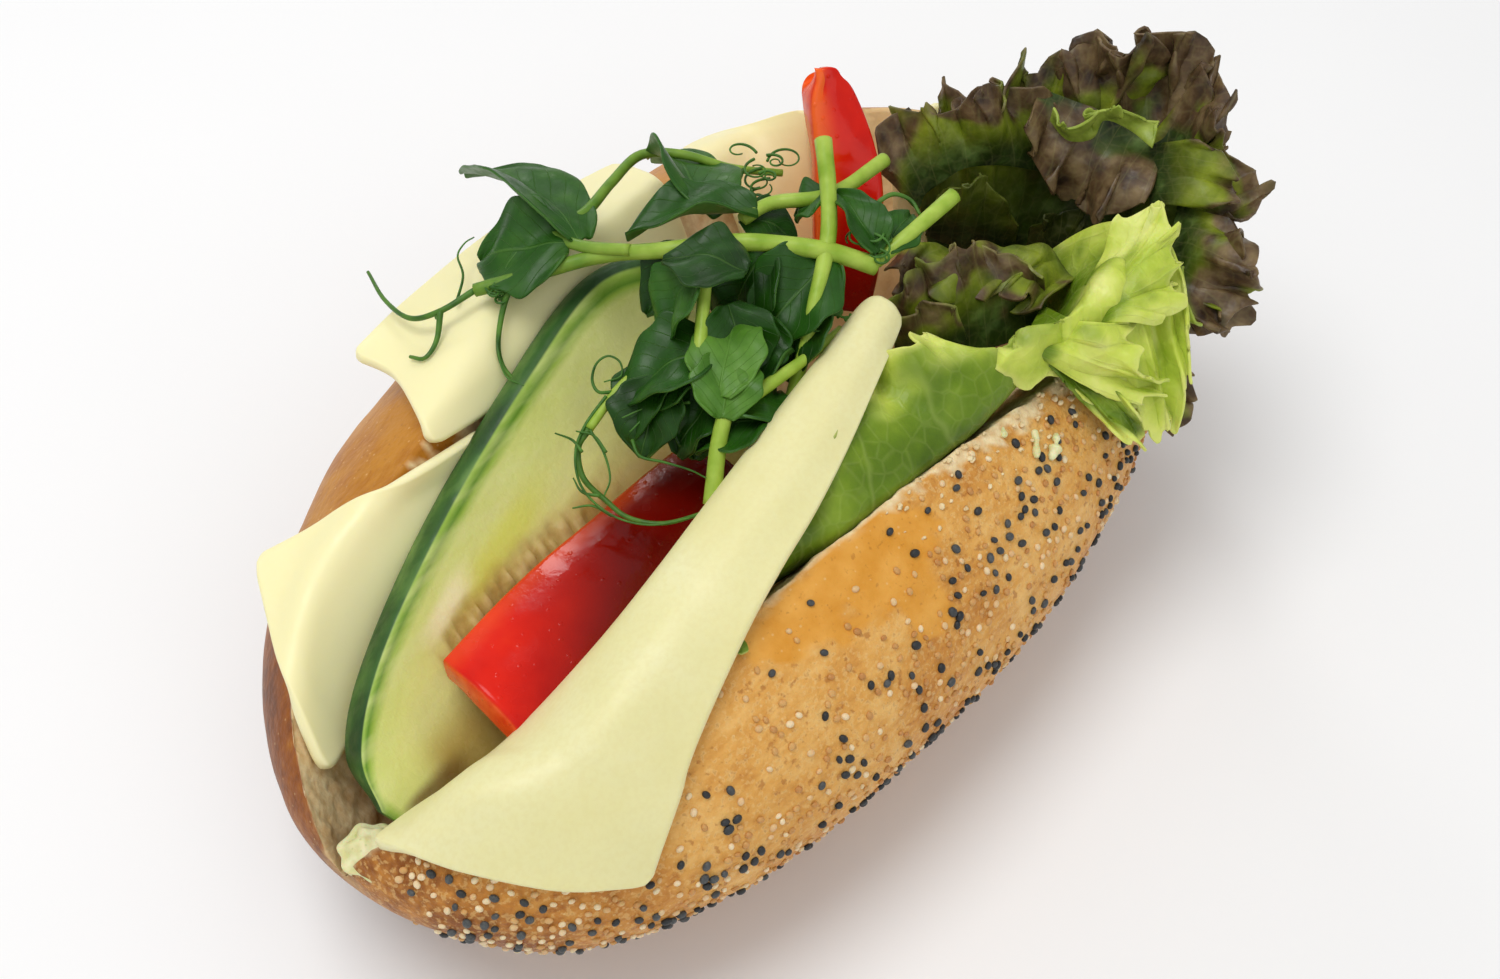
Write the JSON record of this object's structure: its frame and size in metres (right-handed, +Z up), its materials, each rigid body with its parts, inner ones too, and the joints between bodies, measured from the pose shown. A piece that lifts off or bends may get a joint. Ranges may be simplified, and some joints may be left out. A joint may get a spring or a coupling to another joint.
{
  "type": "cheese baguette sandwich",
  "caption": "Seeded long roll cut open along its top and filled with cheese slices, cucumber, red pepper, red and green lettuce and pea shoots.",
  "frame": {"origin": "on the spot that the roll rests on, under the middle of its length and width", "axes": "+X along the roll towards the lettuce end, +Y towards the half without seeds, +Z up"},
  "size_m": [0.1897, 0.1204, 0.0834],
  "materials": {
    "crust": "baked crust, golden brown, matte with a slight sheen, black and pale seeds on one half",
    "cheese": "pale yellow, smooth and slightly waxy",
    "cucumber": "wet pale green flesh with seeds, dark green skin at the edge",
    "red_pepper": "glossy red skin, paler red-orange flesh at the cut ends",
    "green_lettuce": "thin wavy leaf with pale veins and a frilled margin, satin",
    "red_lettuce": "thin frilled leaf, dark red-brown at the margin and green inside, satin",
    "pea_shoots": "deep green smooth leaves and lighter green stems, satin",
    "herb_spread": "soft pale spread with herbs, satin"
  },
  "bodies": {
    "root": {"bread_roll": "crust", "pepper_front": "red_pepper", "pepper_far": "red_pepper", "cheese_front": "cheese", "cheese_left_near": "cheese", "cheese_left_middle": "cheese", "cheese_left_far": "cheese", "cheese_far": "cheese", "cucumber": "cucumber", "lettuce_green": "green_lettuce", "lettuce_inner": "red_lettuce", "lettuce_red": "red_lettuce", "pea_shoots": "pea_shoots", "herb_spread": "herb_spread"}
  },
  "joints": []
}
